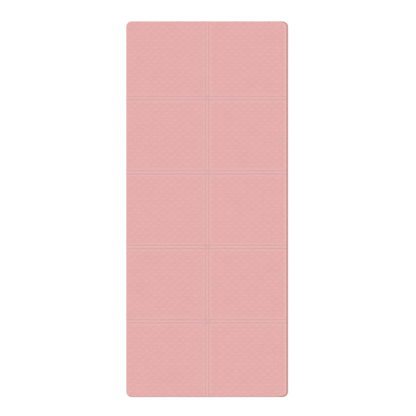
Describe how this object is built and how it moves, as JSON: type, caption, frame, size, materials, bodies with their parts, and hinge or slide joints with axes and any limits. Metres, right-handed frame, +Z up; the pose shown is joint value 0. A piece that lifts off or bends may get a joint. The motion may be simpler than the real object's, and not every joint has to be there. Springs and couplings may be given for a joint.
{
  "type": "folding exercise mat",
  "caption": "Thin foam exercise mat that folds flat along one long crease and four cross creases, with an embossed top sheet on separate base pads.",
  "frame": {"origin": "centre of the underside of the mat as it lies flat, on the floor plane", "axes": "+Y along the mat's length towards row 1, +X across its width to the right half, +Z up out of the upper face"},
  "size_m": [0.7874, 1.829, 0.006],
  "materials": {
    "top_sheet": "matt embossed foam skin",
    "crease_strip": "matt foam skin, pressed thin",
    "base_pad": "matt closed-cell foam"
  },
  "bodies": {
    "row5_right": {"top_sheet_row5_right": "top_sheet", "base_pad_row5_right": "base_pad", "centre_crease_row5": "crease_strip"},
    "row5_left": {"top_sheet_row5_left": "top_sheet", "base_pad_row5_left": "base_pad"},
    "row4_right": {"top_sheet_row4_right": "top_sheet", "base_pad_row4_right": "base_pad", "centre_crease_row4": "crease_strip"},
    "row4_left": {"top_sheet_row4_left": "top_sheet", "base_pad_row4_left": "base_pad"},
    "row3_right": {"top_sheet_row3_right": "top_sheet", "base_pad_row3_right": "base_pad", "centre_crease_row3": "crease_strip"},
    "row3_left": {"top_sheet_row3_left": "top_sheet", "base_pad_row3_left": "base_pad"},
    "row2_right": {"top_sheet_row2_right": "top_sheet", "base_pad_row2_right": "base_pad", "centre_crease_row2": "crease_strip"},
    "row2_left": {"top_sheet_row2_left": "top_sheet", "base_pad_row2_left": "base_pad"},
    "row1_right": {"top_sheet_row1_right": "top_sheet", "base_pad_row1_right": "base_pad", "centre_crease_row1": "crease_strip"},
    "row1_left": {"top_sheet_row1_left": "top_sheet", "base_pad_row1_left": "base_pad"},
    "strip_45_right": {"cross_crease_45_right": "crease_strip", "crease_crossing_45": "crease_strip"},
    "strip_45_left": {"cross_crease_45_left": "crease_strip"},
    "strip_34_right": {"cross_crease_34_right": "crease_strip", "crease_crossing_34": "crease_strip"},
    "strip_34_left": {"cross_crease_34_left": "crease_strip"},
    "strip_23_right": {"cross_crease_23_right": "crease_strip", "crease_crossing_23": "crease_strip"},
    "strip_23_left": {"cross_crease_23_left": "crease_strip"},
    "strip_12_right": {"cross_crease_12_right": "crease_strip", "crease_crossing_12": "crease_strip"},
    "strip_12_left": {"cross_crease_12_left": "crease_strip"}
  },
  "joints": [
    {"name": "centre_fold", "type": "hinge", "parent": "row5_right", "child": "row5_left", "pos_m": [0, -0.7305, 0.0062], "axis": [0, 1, 0], "range_deg": [0, 180]},
    {"name": "centre_fold_row4", "type": "hinge", "parent": "row4_right", "child": "row4_left", "pos_m": [0, -0.36525, 0.0062], "axis": [0, 1, 0], "range_deg": [0, 180]},
    {"name": "centre_fold_row3", "type": "hinge", "parent": "row3_right", "child": "row3_left", "pos_m": [0, -0.00275, 0.0062], "axis": [0, 1, 0], "range_deg": [0, 180]},
    {"name": "centre_fold_row2", "type": "hinge", "parent": "row2_right", "child": "row2_left", "pos_m": [0, 0.35975, 0.0062], "axis": [0, 1, 0], "range_deg": [0, 180]},
    {"name": "centre_fold_row1", "type": "hinge", "parent": "row1_right", "child": "row1_left", "pos_m": [0, 0.72775, 0.0062], "axis": [0, 1, 0], "range_deg": [0, 180]},
    {"name": "centre_fold_crease_45", "type": "hinge", "parent": "strip_45_right", "child": "strip_45_left", "pos_m": [0, -0.5465, 0.0062], "axis": [0, 1, 0], "range_deg": [0, 180]},
    {"name": "centre_fold_crease_34", "type": "hinge", "parent": "strip_34_right", "child": "strip_34_left", "pos_m": [0, -0.184, 0.0062], "axis": [0, 1, 0], "range_deg": [0, 180]},
    {"name": "centre_fold_crease_23", "type": "hinge", "parent": "strip_23_right", "child": "strip_23_left", "pos_m": [0, 0.1785, 0.0062], "axis": [0, 1, 0], "range_deg": [0, 180]},
    {"name": "centre_fold_crease_12", "type": "hinge", "parent": "strip_12_right", "child": "strip_12_left", "pos_m": [0, 0.541, 0.0062], "axis": [0, 1, 0], "range_deg": [0, 180]},
    {"name": "zigzag_fold", "type": "hinge", "parent": "row5_right", "child": "strip_45_right", "pos_m": [0, -0.5538, 0.0062], "axis": [1, 0, 0], "range_deg": [0, 90]},
    {"name": "crease_45_far_line", "type": "hinge", "parent": "strip_45_right", "child": "row4_right", "pos_m": [0, -0.5392, 0.0062], "axis": [1, 0, 0], "range_deg": [0, 90]},
    {"name": "crease_34_near_line", "type": "hinge", "parent": "row4_right", "child": "strip_34_right", "pos_m": [0, -0.1913, 0.0062], "axis": [-1, 0, 0], "range_deg": [0, 90]},
    {"name": "crease_34_far_line", "type": "hinge", "parent": "strip_34_right", "child": "row3_right", "pos_m": [0, -0.1767, 0.0062], "axis": [-1, 0, 0], "range_deg": [0, 90]},
    {"name": "crease_23_near_line", "type": "hinge", "parent": "row3_right", "child": "strip_23_right", "pos_m": [0, 0.1712, 0.0062], "axis": [1, 0, 0], "range_deg": [0, 90]},
    {"name": "crease_23_far_line", "type": "hinge", "parent": "strip_23_right", "child": "row2_right", "pos_m": [0, 0.1858, 0.0062], "axis": [1, 0, 0], "range_deg": [0, 90]},
    {"name": "crease_12_near_line", "type": "hinge", "parent": "row2_right", "child": "strip_12_right", "pos_m": [0, 0.5337, 0.0062], "axis": [-1, 0, 0], "range_deg": [0, 90]},
    {"name": "crease_12_far_line", "type": "hinge", "parent": "strip_12_right", "child": "row1_right", "pos_m": [0, 0.5483, 0.0062], "axis": [-1, 0, 0], "range_deg": [0, 90]}
  ],
  "couplings": [
    {"joint": "centre_fold_row4", "follows": "centre_fold", "ratio": 1},
    {"joint": "centre_fold_row3", "follows": "centre_fold", "ratio": 1},
    {"joint": "centre_fold_row2", "follows": "centre_fold", "ratio": 1},
    {"joint": "centre_fold_row1", "follows": "centre_fold", "ratio": 1},
    {"joint": "centre_fold_crease_45", "follows": "centre_fold", "ratio": 1},
    {"joint": "centre_fold_crease_34", "follows": "centre_fold", "ratio": 1},
    {"joint": "centre_fold_crease_23", "follows": "centre_fold", "ratio": 1},
    {"joint": "centre_fold_crease_12", "follows": "centre_fold", "ratio": 1},
    {"joint": "crease_45_far_line", "follows": "zigzag_fold", "ratio": 1},
    {"joint": "crease_34_near_line", "follows": "zigzag_fold", "ratio": 1},
    {"joint": "crease_34_far_line", "follows": "zigzag_fold", "ratio": 1},
    {"joint": "crease_23_near_line", "follows": "zigzag_fold", "ratio": 1},
    {"joint": "crease_23_far_line", "follows": "zigzag_fold", "ratio": 1},
    {"joint": "crease_12_near_line", "follows": "zigzag_fold", "ratio": 1},
    {"joint": "crease_12_far_line", "follows": "zigzag_fold", "ratio": 1}
  ]
}
